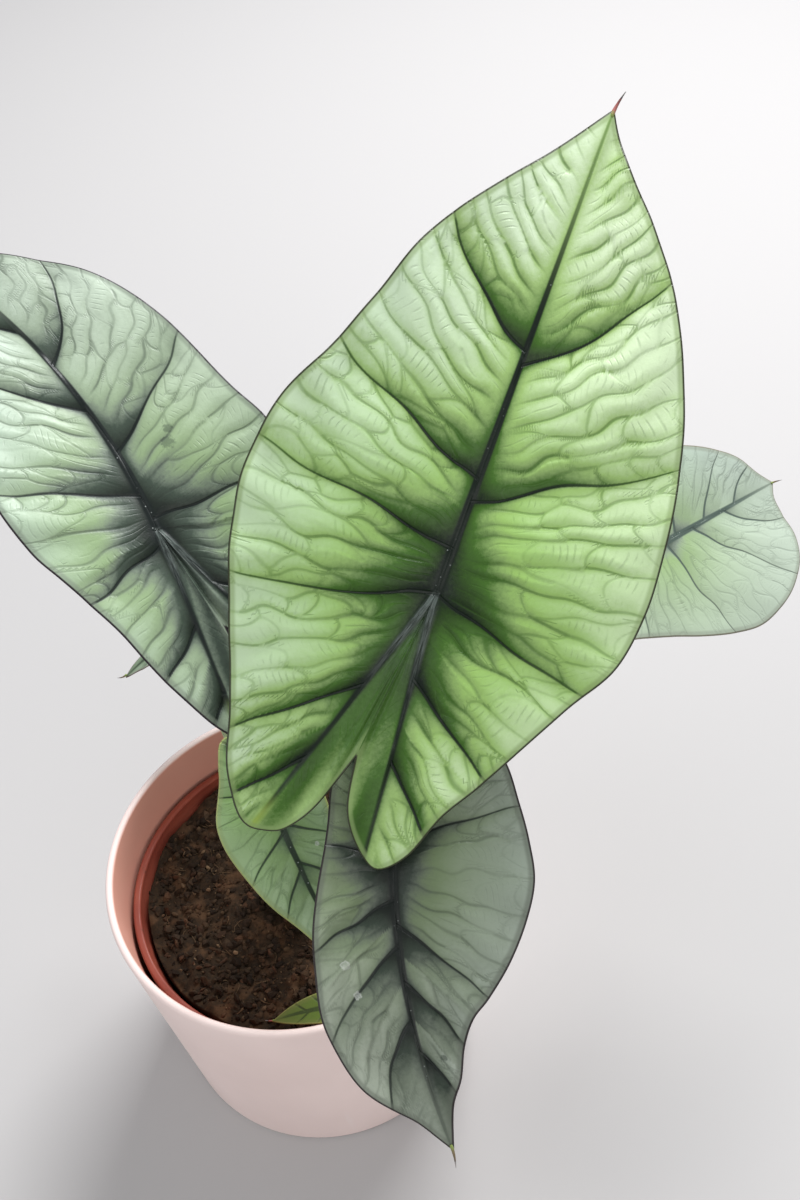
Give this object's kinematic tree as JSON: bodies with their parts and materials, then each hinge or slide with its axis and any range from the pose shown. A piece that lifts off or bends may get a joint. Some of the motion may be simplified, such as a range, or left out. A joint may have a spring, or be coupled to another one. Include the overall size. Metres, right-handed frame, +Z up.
{
  "type": "potted alocasia",
  "caption": "Shield-leaved alocasia with quilted grey-green leaves on upright stalks, growing in a nursery pot inside a plain cover pot.",
  "frame": {"origin": "centre of the cover pot's flat underside, on the table", "axes": "+Z up, +Y away from the side the largest leaf faces, +X to the right of that side"},
  "size_m": [0.2777, 0.2377, 0.3637],
  "materials": {
    "cover_plastic": "matte",
    "nursery_plastic": "satin",
    "potting_mix": "matte",
    "crown_skin": "matte",
    "main_blade": "satin",
    "left_blade": "satin",
    "lower_blade": "satin",
    "small_blade": "satin",
    "right_blade": "satin",
    "back_blade": "satin",
    "young_blade": "satin",
    "stalk": "satin"
  },
  "bodies": {
    "root": {"cover_pot": "cover_plastic", "nursery_pot": "nursery_plastic", "soil": "potting_mix", "crown": "crown_skin", "blade_main": "main_blade", "blade_left": "left_blade", "blade_lower": "lower_blade", "blade_small": "small_blade", "blade_right": "right_blade", "blade_back": "back_blade", "blade_young": "young_blade", "petiole_main": "stalk", "petiole_left": "stalk", "petiole_lower": "stalk", "petiole_small": "stalk", "petiole_right": "stalk", "petiole_back": "stalk", "petiole_young": "stalk"}
  },
  "joints": []
}
